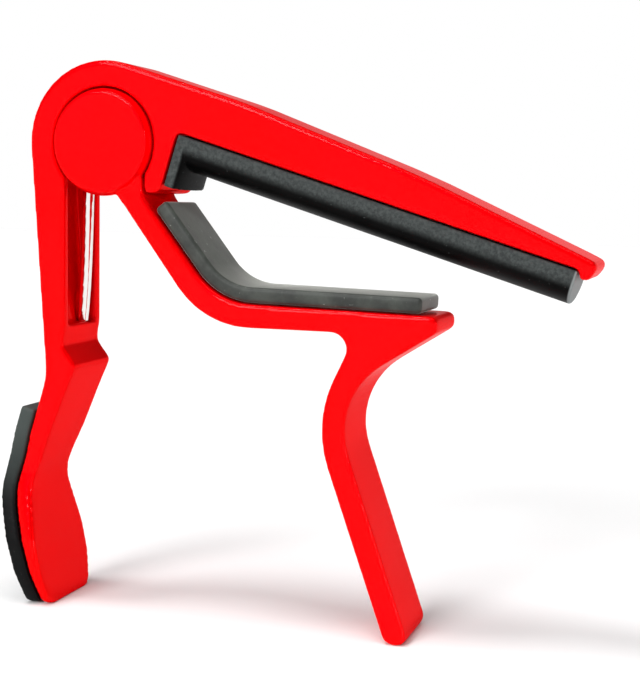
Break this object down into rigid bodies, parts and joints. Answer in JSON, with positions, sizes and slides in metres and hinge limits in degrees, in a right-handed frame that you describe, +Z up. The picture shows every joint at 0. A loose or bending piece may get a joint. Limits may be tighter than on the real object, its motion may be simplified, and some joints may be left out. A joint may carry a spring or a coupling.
{
  "type": "guitar capo",
  "caption": "Sprung clamp capo: padded string bar with a thumb handle, hinged to a curved neck support with a finger handle.",
  "frame": {"origin": "on the floor below the middle of the capo's box, with the capo standing on the tips of its two handles", "axes": "+X from the thumb handle towards the tip of the string bar, +Y along the hinge pin towards its domed head, +Z up"},
  "size_m": [0.0912, 0.0166, 0.0845],
  "materials": {
    "red_enamel": "gloss",
    "black_silicone": "satin",
    "grey_rubber": "satin",
    "bright_spring_steel": "polished",
    "plain_steel": "satin",
    "nylon": "matte"
  },
  "bodies": {
    "upper_arm_body": {"upper_arm": "red_enamel", "string_pad": "black_silicone", "thumb_grip": "black_silicone", "torsion_spring": "bright_spring_steel", "spring_spool": "nylon", "front_washer": "nylon", "rear_washer": "nylon"},
    "lower_jaw_body": {"lower_jaw": "red_enamel", "neck_pad": "grey_rubber", "pivot_pin": "plain_steel"}
  },
  "joints": [
    {"name": "clamp_hinge", "type": "hinge", "parent": "upper_arm_body", "child": "lower_jaw_body", "pos_m": [-0.02825, 0, 0.0723], "axis": [0, 1, 0], "range_deg": [0, 38], "stiffness_Nm_per_rad": 0.9, "springref_deg": -40.11, "deforming": ["torsion_spring"]}
  ]
}
